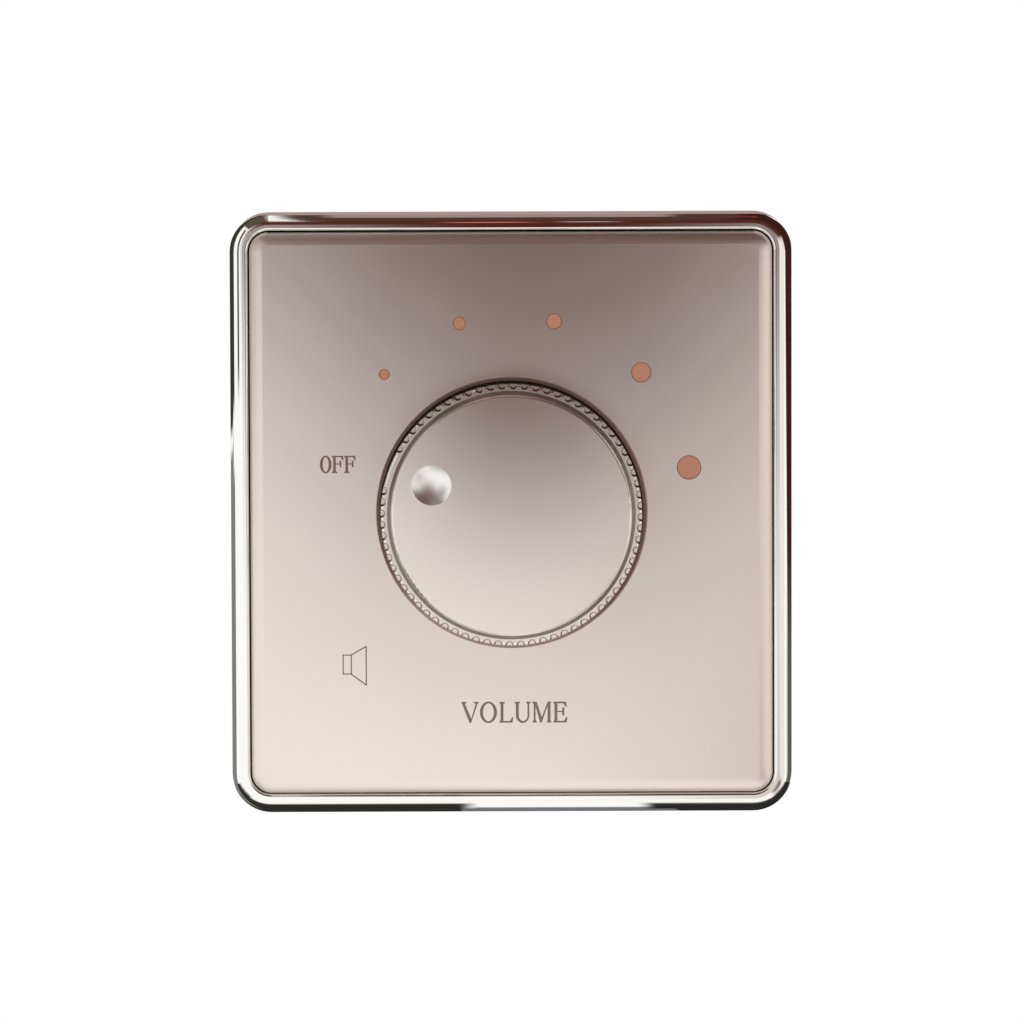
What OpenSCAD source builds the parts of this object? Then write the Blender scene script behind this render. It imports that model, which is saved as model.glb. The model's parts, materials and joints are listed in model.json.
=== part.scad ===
// Flush wall plate with a stepped stereo volume control
// Drawn lying on its back, with x to the right, y up the plate and z out of the wall
// Each piece is then stood up to face -Y

/* [Bezel] */
// Width of the plate over its bezel
plate_w = 86; // [84:0.5:96]
// Height of the plate over its bezel
plate_h = 92; // [88:0.5:110]
// Outer corner radius of the bezel
corner_r = 6.2; // [6:0.1:8]
// Width of the bezel round the panel
border_w = 2.95; // [2.9:0.05:3.4]
// Height of the moulding's crest over the wall
bezel_rise = 9.4; // [9:0.1:12]
// Radius of the moulding's outer round
outer_r = 2; // [1.4:0.05:2.1]
// Radius of its inner round
inner_r = 0.4; // [0.3:0.05:0.8]
// Inward lean of the outer flank, from its foot to the outer round
flank_lean = 0.1; // [0.05:0.05:0.15]
// Upright foot of the outer flank
flank_foot = 1.2; // [0.6:0.1:2]
// Thickness of the bezel's skirt on the wall
skirt_t = 1.8; // [1.4:0.1:2.4]
// Distance from the outer edge to the inside of the ledge under the panel
ledge_reach = 5.8; // [5.2:0.1:5.9]
// Thickness of that ledge
ledge_t = 1.4; // [1:0.1:2]

/* [Face panel] */
// Depth of the panel's face below the bezel's crest
panel_sink = 0.45; // [0.2:0.05:0.8]
// Thickness of the panel
panel_t = 2; // [1.6:0.1:2.4]
// Gap between the panel and the bezel
panel_gap = 0.25; // [0.1:0.05:0.4]
// Width of the panel's rolled edge
edge_w = 2; // [1.2:0.1:2.2]
// Drop of the panel's face over its rolled edge
edge_drop = 0.5; // [0.2:0.05:0.8]
// Depth of the rim that stands on the ledge, from the panel's face
rim_h = 2.8; // [2.6:0.1:3.6]
// Thickness of that rim
rim_t = 1.6; // [1.2:0.1:2]
// Hole in the panel for the switch bush
bush_hole_d = 14; // [12:0.5:18]
// Depth of the well that the knob sits in
well_depth = 1; // [0.9:0.05:1.2]
// Width of the bevel round the well
bevel_w = 0.5; // [0.3:0.05:0.8]
// Depth of that bevel
bevel_h = 0.6; // [0.4:0.05:0.8]
// Depth of the stiffening ribs behind the panel
rib_h = 1.8; // [1:0.1:2.5]
// Thickness of those ribs
rib_t = 1.2; // [0.8:0.1:1.6]
// Radius of the round rib
rib_r = 22; // [18:0.5:26]
// Sideways distance of a snap hook from the middle
hook_x = 14; // [8:0.5:16]
// Upward distance of a snap hook from the middle
hook_y = 31; // [29:0.5:33]
// Width of a snap hook
hook_w = 6; // [4:0.5:8]
// Thickness of a snap hook
hook_t = 1.4; // [1:0.1:2]
// Reach of a hook's barb
barb = 0.9; // [0.5:0.1:1.2]

/* [Knob] */
// Diameter of the knob over its flutes
knob_d = 39.5; // [34:0.1:42]
// Height of the knob's shoulder over the panel
shoulder_h = 9.4; // [8:0.1:12]
// Width of the shoulder round the raised cap
shoulder_w = 1; // [0.9:0.05:3]
// Height of the cap's edge over the shoulder
cap_step = 1.8; // [1:0.1:3]
// Lean of the cap's side
cap_lean = 0.6; // [0.05:0.05:1]
// Rounding of the cap's edge
cap_round = 0.4; // [0.2:0.05:1.7]
// Rise of the domed face from the cap's edge to its middle
cap_crown = 0.65; // [0.3:0.05:1.2]
// Rounding of the shoulder's outer edge
shoulder_round = 0.4; // [0.1:0.05:0.45]
// Places for flutes round the shoulder
flute_places = 72; // [48:4:72]
// Flutes left out at the pointer
flutes_left_out = 3; // [1:2:7]
// Radius of a flute at the shoulder
flute_r = 0.68; // [0.4:0.02:0.8]
// Radius of a flute at its foot
flute_foot_r = 0.4; // [0.12:0.02:0.6]
// Length of a flute
flute_len = 1.5; // [1.2:0.1:6]
// Diameter of the finger dimple
dimple_d = 6; // [4:0.1:8]
// Depth of the finger dimple
dimple_depth = 0.9; // [0.5:0.05:1.2]
// Distance from the finger dimple to the cap's edge
dimple_edge = 2.1; // [0.5:0.05:4]
// Angle of the pointer at OFF, from the right-hand side
off_angle = 159; // [150:1:180]
// Depth of the knob's lower edge in its well
knob_sink = 0.5; // [0.2:0.05:0.55]
// Gap between the knob and the well's side
knob_gap = 0.35; // [0.25:0.05:0.6]
// Thickness of the knob's side wall
knob_wall = 2.2; // [1.6:0.1:3]
// Thickness of the knob's top under the shoulder
knob_top = 2; // [1.5:0.1:3]
// Diameter of the knob's hub
hub_d = 11; // [9:0.5:14]
// Width of the slits in the hub
hub_slit = 1; // [0.6:0.1:1.5]
// Length of the slits in the hub
hub_slit_len = 4; // [2.5:0.1:5]

/* [Rotary switch] */
// Diameter of the shaft
shaft_d = 6; // [5:0.1:6.35]
// Distance of the shaft's flat from the axis
shaft_flat = 1.5; // [1:0.1:2.5]
// Diameter of the threaded bush
bush_d = 9; // [8.5:0.1:10]
// Diameter of the switch case
case_d = 26; // [25.5:0.1:27]
// Depth of the switch case behind the yoke
case_depth = 10; // [9.6:0.1:13]
// Thickness of the case's side wall
case_wall = 1.5; // [1.2:0.1:1.7]
// Thickness of the case's front
case_front = 1.8; // [1.6:0.1:2.4]
// Turn from one switch position to the next
step_angle = 30; // [24:6:30]
// Number of switch positions, with OFF
positions = 6; // [3:1:6]
// Thickness of the detent wheel
wheel_t = 1.6; // [1:0.1:2]
// Radius of the detent wheel
wheel_r = 9.2; // [8.6:0.1:9.4]
// Radius of the detent spring's nose
nose_r = 1; // [0.8:0.05:1.2]
// Thickness of the detent spring
spring_t = 0.35; // [0.2:0.05:0.4]
// Width of the rotor's stop tab, as an angle
tab_angle = 24; // [16:1:30]
// Width of each stop in the case, as an angle
stop_angle = 12; // [8:1:16]
// Play between the tab and a stop at the end of the turn, as an angle
stop_play = 2; // [1:0.5:4]
// Circle of the position contacts
contact_r = 8.4; // [8:0.1:8.8]
// Circle of the common contacts
common_r = 4.8; // [4.6:0.1:5.4]
// Thickness of the base that closes the case
base_t = 2; // [1.6:0.1:3]
// Width across the flats of the switch nut
nut_af = 12; // [11:0.5:14]
// Thickness of the switch nut
nut_t = 2.2; // [1.5:0.1:2.8]
// Thickness of the lock washer
washer_t = 0.5; // [0.3:0.1:0.8]
// Diameter of the lock washer
washer_d = 14; // [13:0.5:16]

/* [Mounting yoke] */
// Thickness of the yoke's sheet
yoke_t = 1.2; // [0.8:0.1:1.6]
// Height of the yoke's folded edges
fold_h = 4.2; // [3.5:0.1:4.5]
// Distance between the two wall-box screws
screw_pitch = 60.3; // [59:0.1:61.5]
// Width of a wall-box screw slot
slot_w = 4.5; // [4:0.1:5]
// Length of a wall-box screw slot
slot_len = 8; // [6:0.5:9]

/* [Circuit board] */
// Width of the board
board_w = 49; // [47:0.5:52]
// Height of the board
board_h = 58; // [58:0.5:66]
// Thickness of the board
board_t = 1.6; // [1:0.1:2]
// Space between the switch base and the board
board_stand = 1; // [0.6:0.1:2]
// Distance of a board screw from the board's side edge
screw_inset = 3; // [2.8:0.1:4]
// Diameter of a standoff
standoff_d = 5; // [4.5:0.1:6]

/* [Transformers] */
// Width of a core's outer leg
core_leg = 4.2; // [3.8:0.1:4.4]
// Thickness of the stack of laminations
core_stack = 12; // [10:0.5:12.5]
// Space between the core and the board
core_stand = 2.2; // [1.8:0.1:4]
// Thickness of the bobbin's walls
bobbin_t = 0.8; // [0.6:0.1:1]
// Thickness of the strap round a core
strap_t = 0.8; // [0.6:0.1:1]
// Length of a strap's foot
foot_len = 6; // [5.8:0.1:8]
// Taps brought out on each transformer
taps = 6; // [4:1:7]
// Distance from one tap's pin to the next
tap_pitch = 2.5; // [2:0.1:2.6]

/* [Terminals] */
// Ways in each terminal block
ways = 4; // [2:1:4]
// Distance from one way to the next
way_pitch = 5; // [4.8:0.05:5.08]
// Depth of a block, from the wire entry to its back
block_d = 8.4; // [8:0.1:10]
// Height of a block over the board
block_h = 10.4; // [10:0.1:13]
// Width of a wire entry
entry_w = 3.8; // [3.4:0.1:3.9]
// Height of a wire entry
entry_h = 4.4; // [4:0.1:5]

/* [Hidden] */

$fn = 72;
round_fn = 180;          // knob, its well and the panel's rolled edge
dome_fn = 360;           // shallow dome's large sphere
pin_fn = 32;             // pins and small screws
notch_fn = 24;           // flutes and washer teeth
over = 0.5;              // overshoot of a cutter past the face it cuts
bed = 0.3;               // depth that a fused rib or stop is let into its wall

// Fits
run_fit = 0.05;          // shaft in its bush
press_fit = 0.03;        // piece pushed on or into another
screw_fit = 0.15;        // screw or pin in a clearance hole
slide_fit = 0.3;         // pieces that pass each other
seat_gap = 0.05;         // barb behind the yoke
locate_gap = 0.4;        // yoke's folds inside the bezel's ledge

// Heights in front of the wall
panel_z = bezel_rise - panel_sink;
panel_back = panel_z - panel_t;
rim_z = panel_z - rim_h;
round_z = bezel_rise - outer_r;
crest_out = flank_lean + outer_r;                   // crest between the bezel's two rounds
crest_in = max(crest_out, border_w - inner_r);
inner_z = bezel_rise - border_w + crest_in;
knob_z = panel_z - knob_sink;
shoulder_z = panel_z + shoulder_h;
cap_z = shoulder_z + cap_step;
bush_spare = 0.6;        // thread showing past the nut
bush_end = yoke_t + washer_t + nut_t + bush_spare;
clip_t = 0.7;            // thickness of the circlip
clip_z = bush_end + 2 * run_fit;
hub_lift = 1.8;          // hub's foot over the knob's lower edge
hub_z = knob_z + hub_lift;

// Panel and knob
panel_w = plate_w - 2 * (border_w + panel_gap);
panel_h = plate_h - 2 * (border_w + panel_gap);
panel_corner = corner_r - border_w - panel_gap;
roll_r = (edge_w * edge_w + edge_drop * edge_drop) / (2 * edge_drop);
knob_r = knob_d / 2;
well_r = knob_r + knob_gap;
cap_r = knob_r - shoulder_w;
cap_top_r = cap_r - cap_lean;
cap_foot = 0.2;                         // straight foot of the cap's side
cap_roll = min(cap_round, cap_step - cap_foot);
face_r = cap_top_r - cap_roll;
dome_r = (face_r * face_r + cap_crown * cap_crown) / (2 * cap_crown);
dome_z = cap_z + cap_crown - dome_r;
roll_z = dome_z + sqrt(pow(dome_r - cap_roll, 2) - pow(face_r, 2));   // middle of the cap's round
meet_r = face_r * dome_r / (dome_r - cap_roll);                       // circle where it runs into the dome
dimple_at = cap_top_r - dimple_edge - dimple_d / 2;
dimple_r = (dimple_d * dimple_d / 4 + dimple_depth * dimple_depth) / (2 * dimple_depth);
dimple_z = dome_z + sqrt(pow(dome_r, 2) - pow(dimple_at, 2)) - dimple_depth + dimple_r;
flute_step = 360 / flute_places;
flute_in = 0.1;                         // flutes' axes inside the knob's edge
bore_end = shoulder_z + cap_step / 2;   // blind end of the shaft's bore in the hub
clip_ring_t = 0.6;                      // wall of the ring round the hub
clip_ring_h = 2;                        // length of that ring
clip_ring_in = 0.5;                     // distance of that ring up the hub
clip_ring_z = hub_z + clip_ring_in;
groove = 0.5;                           // depth of the circlip's groove in the shaft
clip_w = 1.4;                           // circlip outside the shaft
clip_mouth = shaft_d * 2 / 3;           // opening of the circlip
flat_lead = 1;                          // start of the shaft's flat before the hub
knob_ribs = 6;

// Rotary switch, behind the wall face
case_r = case_d / 2;
case_in_r = case_r - case_wall;
end_play = 0.2;                         // gap between the case's front and the wheel
wheel_z = -case_front - end_play;       // front of the detent wheel
rotor_z = wheel_z - wheel_t;            // front of the rotor
contact_t = 0.3;                        // thickness of the contacts and blades
spigot_h = 0.6;                         // base's step inside the case
spigot_z = -case_depth + spigot_h;      // face that carries the fixed contacts
wipe_gap = 0.15;                        // gap between a wiper's bump and its contact
bump_h = 0.45;                          // height of a wiper's bump
rotor_end = spigot_z + 2 * contact_t + wipe_gap + bump_h;
rotor_over = 0.4;                       // rotor's edge past the wheel
rotor_r = wheel_r + rotor_over;
tab_gap = 0.5;                          // gap between the tab and the case's wall
tab_r = case_in_r - tab_gap;
base_back = -case_depth - base_t;
spring_off = 0.4;                       // gap between the wheel and the spring's strip
spring_r = wheel_r + spring_off;        // distance of the spring's strip from the axis
spring_side = 0.1;                      // spring narrower than the wheel, on each side
spring_w = wheel_t - 2 * spring_side;
spring_end = 0.2;                       // gap between the spring's ends and the case's wall
spring_half = sqrt(pow(case_in_r - spring_end, 2) - pow(spring_r + spring_t, 2));
flat_cut = 0.7;                         // depth of the flats that drive the wheel and the rotor
flats = shaft_d - 2 * flat_cut;
pivot_r = shaft_d / 4;
flange_w = 1.5;                         // bush's flange outside its thread
bush_flange_r = bush_d / 2 + flange_w;
bush_flange_t = 0.8;
lug_r = 1.2;                            // peg that stops the case turning in the yoke
lug_off = 4;                            // distance of that peg outside the bush
lug_y = -(bush_d / 2 + lug_off);
pin_r = 0.45;
head_r = 1.1;                           // riveted head of a position contact
blade_w = 2;                            // width of a wiper blade
blade_end = 1;                          // blade past the middle of its bumps
bump_r = blade_w / 3;
arc_over = 11;                          // common arc past the end positions, as an angle
turn = step_angle * (positions - 1);
first_angle = 165;                      // wiper and tab at OFF
contact_angles = [for (pole = [0, 180], i = [0 : positions - 1]) first_angle + pole - i * step_angle];
common_angles = [for (pole = [0, 180]) first_angle + pole - turn / 2];

// Yoke
yoke_w = plate_w - 2 * (ledge_reach + locate_gap);
yoke_h = plate_h - 2 * (ledge_reach + locate_gap);
yoke_corner = 4;
hook_in = hook_y - hook_t / 2;          // inner face of a snap hook
hook_out = hook_y + hook_t / 2;         // outer face of a snap hook
barb_len = 2.2;                         // length of a barb behind the yoke

// Circuit board
board_z = base_back - board_stand;      // board's front
board_back = board_z - board_t;
screw_x = board_w / 2 - screw_inset;
screw_top = board_h / 2 - screw_inset;
terminal_top = -board_h / 2 + block_d;
screw_over = 3.6;                       // lower board screws over the terminal blocks
screw_low = terminal_top + screw_over;
board_screws_at = [for (x = [-screw_x, screw_x], y = [screw_low, screw_top]) [x, y]];
screw_r = 1.5;                          // 3 mm screws of the board and the straps
screw_head_r = 2.75;
screw_head_h = 1.9;
thread_depth = 0.2;
tapped_r = screw_r - thread_depth;
tapped_len = 6;
tapped_spare = 1;                       // tapped hole left past a board screw's end
nut_spare = 0.5;                        // thread showing past a strap nut
board_corner = 1.5;
pin_out = 1;                            // pin showing past the board

// Transformers
core_w = 6 * core_leg;                  // usual proportions of E and I laminations
core_h = 5 * core_leg;
core_top = board_back - core_stand;     // core's face towards the board
coil_half = core_stack / 2 + core_leg;
core_gap = 1.2;                         // space between the two bobbins
core_x = coil_half + core_gap / 2;
strap_in = 1;                           // laminations showing beside a strap
strap_w = core_stack - 2 * strap_in;
foot_y = core_w / 2 + strap_t + foot_len / 2;
strap_nut_af = 5.5;
strap_nut_t = 2.2;
nut_clear = 0.4;                        // gap between a strap nut and the switch case
nut_clear_r = case_r + strap_nut_af / (2 * cos(30)) + nut_clear;
core_y = foot_y - sqrt(nut_clear_r * nut_clear_r - core_x * core_x);
lap = 0.15;                             // play between bobbin and core
rail_w = 2.2;                           // bobbin's rail that holds the pins
tape_in = 0.6;                          // taped turns inside the bobbin's flanges
tape_corner = 1.5;
strap_lip = 1.2;                        // strap's lip over the core's edge
strap_screws_at = [for (x = [-core_x, core_x], s = [-1, 1]) [x, core_y + s * foot_y]];
tap_x = core_x + coil_half - rail_w / 2;
tap_ys = [for (i = [0 : taps - 1]) core_y + (i - (taps - 1) / 2) * tap_pitch];
taps_at = [for (s = [-1, 1], y = tap_ys) [s * tap_x, y]];

// Terminals
block_end = 0.2;                        // body past the outer ways
block_gap = 0.4;                        // space between the two blocks
block_w = ways * way_pitch + 2 * block_end;
block_x = (block_w + block_gap) / 2;
entry_floor = 1.4;                      // body under a wire entry
entry_back = 1.4;                       // body behind a wire entry
entry_len = block_d - entry_back;
cage_wall = 0.6;
cage_roof = 1.1;
cage_len = 4.6;
shaft_well_r = 2;                       // round well over a clamp screw
clamp_head_r = 1.75;
clamp_head_h = 1.8;
clamp_shank_r = 1.25;
clamp_reach = 0.4;                      // end of a clamp screw past its cage's roof
slot_cut = 0.7;                         // width of a screwdriver slot
way_y = -board_h / 2 + block_d / 2;
way_xs = [for (s = [-1, 1], i = [0 : ways - 1]) s * block_x + (i - (ways - 1) / 2) * way_pitch];
ways_at = [for (x = way_xs) [x, way_y]];

// Shared forms

module upright() {
    rotate([90, 0, 0]) children();
}

module rounded_rect(w, h, r) {
    square([w - 2 * r, h], center = true);
    square([w, h - 2 * r], center = true);
    for (x = [-1, 1], y = [-1, 1])
        translate([x * (w / 2 - r), y * (h / 2 - r)]) circle(r);
}

// Carries an outline, drawn as distance in from the edge and height, round a rounded rectangle
module sweep_round(w, h, r) {
    for (side = [0 : 3]) {
        across = side % 2 == 0 ? w : h;
        along = side % 2 == 0 ? h : w;
        rotate([0, 0, 90 * side])
            translate([across / 2, 0, 0])
                rotate([90, 0, 0])
                    linear_extrude(height = along - 2 * r, center = true)
                        mirror([1, 0]) children();
        rotate([0, 0, 90 * side])
            translate([across / 2 - r, along / 2 - r, 0])
                rotate_extrude(angle = 90)
                    translate([r, 0]) mirror([1, 0]) children();
    }
}

module ring(r_out, r_in, h) {
    difference() {
        cylinder(r = r_out, h = h);
        translate([0, 0, -over]) cylinder(r = r_in, h = h + 2 * over);
    }
}

module sector(r_in, r_out, from, to, h) {
    rotate([0, 0, from])
        rotate_extrude(angle = to - from)
            translate([r_in, 0]) square([r_out - r_in, h]);
}

module long_hole(len, w, h) {
    for (x = [-1, 1]) translate([x * (len - w) / 2, 0, 0]) cylinder(d = w, h = h);
    translate([-(len - w) / 2, -w / 2, 0]) cube([len - w, w, h]);
}

// Round with one flat
module d_shape(r, flat) {
    intersection() {
        circle(r);
        translate([-r, -r]) square([r + flat, 2 * r]);
    }
}

// Round with two flats
module double_d(r, across) {
    intersection() {
        circle(r);
        square([2 * r, across], center = true);
    }
}

module at_each(places) {
    for (p = places) translate([p[0], p[1], 0]) children();
}

module polar(angle, r) {
    rotate([0, 0, angle]) translate([r, 0, 0]) children();
}

// Bezel and panel

module bezel_outline() {
    inner_fit = border_w - crest_in;
    polygon([
        [0, 0], [0, flank_foot], [flank_lean, round_z], [crest_out, round_z],
        [crest_out, bezel_rise], [crest_in, bezel_rise], [crest_in, inner_z], [border_w, inner_z],
        [border_w, rim_z], [ledge_reach, rim_z], [ledge_reach, rim_z - ledge_t],
        [skirt_t, rim_z - ledge_t], [skirt_t, 0]
    ]);
    intersection() {
        translate([crest_out, round_z]) circle(outer_r);
        translate([flank_lean, round_z]) square(outer_r);
    }
    intersection() {
        translate([crest_in, inner_z]) circle(inner_fit);
        translate([crest_in, inner_z]) square(inner_fit);
    }
}

module bezel_frame() color("gainsboro") upright()
    sweep_round(plate_w, plate_h, corner_r) bezel_outline();

module panel_edge() {
    translate([0, rim_z]) square([rim_t, rim_h - panel_t + bed]);
    intersection() {
        translate([0, panel_back]) square([edge_w, panel_t]);
        translate([edge_w, panel_z - roll_r]) circle(roll_r, $fn = round_fn);
    }
}

// Bevelled well round the knob
module knob_well() {
    translate([0, 0, panel_z - well_depth])
        cylinder(r = well_r, h = well_depth + over, $fn = round_fn);
    translate([0, 0, panel_z - bevel_h])
        cylinder(r1 = well_r, r2 = well_r + 2 * bevel_w, h = 2 * bevel_h, $fn = round_fn);
}

module panel_ribs() {
    z = panel_back - rib_h;
    h = rib_h + bed;
    translate([0, 0, z]) ring(rib_r + rib_t / 2, rib_r - rib_t / 2, h);
    for (side = [0 : 3]) {
        reach = (side % 2 == 0 ? yoke_w : yoke_h) / 2 - 2 * yoke_t;
        rotate([0, 0, 90 * side])
            translate([rib_r, -rib_t / 2, z]) cube([reach - rib_r, rib_t, h]);
    }
}

module snap_hook() {
    rotate([90, 0, 90])
        linear_extrude(height = hook_w, center = true)
            polygon([
                [hook_in, panel_back + bed], [hook_out, panel_back + bed],
                [hook_out, -seat_gap], [hook_out + barb, -seat_gap],
                [hook_out, -barb_len], [hook_in, -barb_len]
            ]);
}

module face_panel() color("burlywood") upright() difference() {
    union() {
        sweep_round(panel_w, panel_h, panel_corner) panel_edge();
        translate([0, 0, panel_back])
            linear_extrude(height = panel_t)
                rounded_rect(panel_w - 2 * edge_w, panel_h - 2 * edge_w, panel_corner - edge_w);
        panel_ribs();
        for (x = [-hook_x, hook_x], up = [0, 1])
            mirror([0, up, 0]) translate([x, 0, 0]) snap_hook();
    }
    knob_well();
    translate([0, 0, panel_back - over]) cylinder(d = bush_hole_d, h = panel_t + 2 * over);
}

// Knob and shaft

module knob_outline() {
    polygon([
        [0, knob_z], [knob_r, knob_z], [knob_r, shoulder_z - shoulder_round],
        [knob_r - shoulder_round, shoulder_z - shoulder_round],
        [knob_r - shoulder_round, shoulder_z], [cap_r, shoulder_z],
        [cap_top_r, roll_z], [0, roll_z]
    ]);
    intersection() {
        translate([knob_r - shoulder_round, shoulder_z - shoulder_round]) circle(shoulder_round);
        translate([0, knob_z]) square([knob_r, shoulder_z - knob_z]);
    }
    intersection() {
        translate([face_r, roll_z]) circle(cap_roll);
        translate([meet_r, roll_z]) square(cap_roll);
    }
}

// Domed middle of the knob's face, with the sphere's poles turned away from the face
module knob_dome() {
    intersection() {
        translate([0, 0, roll_z])
            cylinder(r = meet_r, h = cap_roll + cap_crown + over, $fn = round_fn);
        translate([0, 0, dome_z]) rotate([90, 0, 0]) sphere(dome_r, $fn = dome_fn);
    }
}

module knob_hollow() {
    top = shoulder_z - knob_top;
    difference() {
        translate([0, 0, knob_z - over])
            cylinder(r = knob_r - knob_wall, h = top - knob_z + over, $fn = round_fn);
        translate([0, 0, hub_z]) cylinder(d = hub_d, h = top - hub_z + over);
        for (i = [0 : knob_ribs - 1])
            rotate([0, 0, off_angle + (i + 0.5) * 360 / knob_ribs])
                translate([0, -rib_t / 2, hub_z + hub_slit_len])
                    cube([knob_r, rib_t, top - hub_z]);
    }
}

module flutes() {
    taper = (flute_r - flute_foot_r) / flute_len;
    first = (flutes_left_out + 1) / 2;
    for (i = [0 : flute_places - flutes_left_out - 1])
        rotate([0, 0, off_angle + (first + i) * flute_step])
            translate([knob_r - flute_in, 0, shoulder_z - flute_len])
                cylinder(
                    h = flute_len + over,
                    r1 = flute_foot_r,
                    r2 = flute_r + over * taper,
                    $fn = notch_fn
                );
}

module control_knob() color("tan") upright() difference() {
    union() {
        rotate_extrude($fn = round_fn) knob_outline();
        knob_dome();
    }
    knob_hollow();
    flutes();
    polar(off_angle, dimple_at)
        translate([0, 0, dimple_z]) rotate([90, 0, 0]) sphere(dimple_r, $fn = round_fn);
    rotate([0, 0, off_angle])
        translate([0, 0, hub_z - over])
            linear_extrude(height = bore_end - hub_z + over)
                d_shape(shaft_d / 2 + press_fit, shaft_flat + press_fit);
    for (slit = [0, 90])
        rotate([0, 0, off_angle + slit])
            translate([-hub_d, -hub_slit / 2, hub_z - over])
                cube([2 * hub_d, hub_slit, hub_slit_len + over]);
}

module knob_clip() color("silver") upright()
    translate([0, 0, clip_ring_z])
        ring(hub_d / 2 + press_fit + clip_ring_t, hub_d / 2 + press_fit, clip_ring_h);

module switch_shaft() color("lightsteelblue") upright() {
    flat_z = hub_z - flat_lead;
    difference() {
        translate([0, 0, wheel_z]) cylinder(d = shaft_d, h = flat_z - wheel_z);
        translate([0, 0, clip_z - run_fit]) ring(shaft_d, shaft_d / 2 - groove, clip_t + 2 * run_fit);
    }
    rotate([0, 0, off_angle])
        translate([0, 0, flat_z])
            linear_extrude(height = bore_end - slide_fit - flat_z) d_shape(shaft_d / 2, shaft_flat);
    translate([0, 0, rotor_end])
        linear_extrude(height = wheel_z - rotor_end) double_d(shaft_d / 2, flats);
    translate([0, 0, base_back + slide_fit]) cylinder(r = pivot_r, h = rotor_end - base_back - slide_fit);
}

module shaft_circlip() color("dimgray") upright()
    translate([0, 0, clip_z])
        difference() {
            ring(shaft_d / 2 + clip_w, shaft_d / 2 - groove + press_fit, clip_t);
            rotate([0, 0, off_angle])
                translate([0, -clip_mouth / 2, -over]) cube([shaft_d, clip_mouth, clip_t + 2 * over]);
        }

module detent_wheel() color("goldenrod") upright()
    translate([0, 0, rotor_z])
        linear_extrude(height = wheel_t)
            difference() {
                circle(wheel_r);
                double_d(shaft_d / 2 + press_fit, flats + 2 * press_fit);
                for (i = [0 : floor(360 / step_angle) - 1])
                    rotate(i * step_angle - 90) translate([spring_r, 0]) circle(nose_r + wipe_gap);
            }

module switch_rotor() color("saddlebrown") upright()
    translate([0, 0, rotor_end])
        difference() {
            union() {
                cylinder(r = rotor_r, h = rotor_z - rotor_end);
                rotate([0, 0, first_angle])
                    sector(rotor_r - bed, tab_r, -tab_angle / 2, tab_angle / 2, rotor_z - rotor_end);
            }
            translate([0, 0, -over])
                linear_extrude(height = rotor_z - rotor_end + 2 * over)
                    double_d(shaft_d / 2 + press_fit, flats + 2 * press_fit);
        }

module wiper_contacts() color("darkgoldenrod") upright()
    for (pole = [0, 180])
        rotate([0, 0, first_angle + pole]) {
            translate([common_r - blade_end, -blade_w / 2, rotor_end - contact_t])
                cube([contact_r - common_r + 2 * blade_end, blade_w, contact_t]);
            for (r = [common_r, contact_r])
                translate([r, 0, rotor_end - contact_t - bump_h]) cylinder(r = bump_r, h = bump_h);
        }

// Fixed pieces of the rotary switch

module case_stops() {
    stop_in = rotor_r + slide_fit;
    low = first_angle - turn - tab_angle / 2 - stop_play - stop_angle;
    high = first_angle + tab_angle / 2 + stop_play;
    for (from = [low, high])
        translate([0, 0, rotor_end])
            sector(stop_in, case_in_r + bed, from, from + stop_angle, -case_front + bed - rotor_end);
}

module spring_seats() {
    seat_w = 1.8;
    seat_x = spring_half - seat_w;
    seat_y = -sqrt(case_in_r * case_in_r - seat_x * seat_x) - bed;
    for (side = [0, 1])
        mirror([side, 0, 0])
            translate([seat_x, seat_y, rotor_z])
                cube([seat_w, -seat_y - spring_r - spring_t, bed - case_front - rotor_z]);
}

module switch_case() color("#26282b") upright() {
    difference() {
        union() {
            translate([0, 0, -case_depth]) cylinder(r = case_r, h = case_depth);
            translate([0, lug_y, -bed]) cylinder(r = lug_r, h = yoke_t + bed);
        }
        translate([0, 0, -case_depth - over])
            cylinder(r = case_in_r, h = case_depth - case_front + over);
        translate([0, 0, -case_front - over])
            cylinder(r = bush_flange_r + press_fit, h = bush_flange_t + over);
        translate([0, 0, -case_front]) cylinder(d = bush_d + 2 * press_fit, h = case_front + over);
    }
    case_stops();
    spring_seats();
}

module switch_bush() color("#c9a24b") upright()
    difference() {
        union() {
            translate([0, 0, -case_front]) cylinder(d = bush_d, h = case_front + bush_end);
            translate([0, 0, -case_front]) cylinder(r = bush_flange_r, h = bush_flange_t);
        }
        translate([0, 0, -case_front - over])
            cylinder(d = shaft_d + 2 * run_fit, h = case_front + bush_end + 2 * over);
    }

module hex_nut(across, bore, h) {
    difference() {
        cylinder(d = across / cos(30), h = h, $fn = 6);
        translate([0, 0, -over]) cylinder(d = bore, h = h + 2 * over);
    }
}

module switch_nut() color("silver") upright()
    translate([0, 0, yoke_t + washer_t]) hex_nut(nut_af, bush_d + 2 * press_fit, nut_t);

module lock_washer() color("lightgray") upright() {
    teeth = 12;
    notch_r = 0.8;
    translate([0, 0, yoke_t])
        linear_extrude(height = washer_t)
            difference() {
                circle(d = washer_d);
                circle(d = bush_d + 2 * screw_fit);
                for (i = [0 : teeth - 1])
                    rotate(i * 360 / teeth) translate([washer_d / 2, 0]) circle(notch_r, $fn = notch_fn);
            }
}

module detent_spring() color("lightslategray") upright()
    translate([0, 0, rotor_z + (wheel_t - spring_w) / 2])
        linear_extrude(height = spring_w)
            difference() {
                union() {
                    translate([-spring_half, -spring_r - spring_t]) square([2 * spring_half, spring_t]);
                    intersection() {
                        translate([0, -spring_r]) circle(nose_r);
                        translate([-nose_r, -spring_r - spring_t]) square([2 * nose_r, nose_r + spring_t]);
                    }
                }
                translate([0, -spring_r]) circle(nose_r - spring_t);
            }

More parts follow.
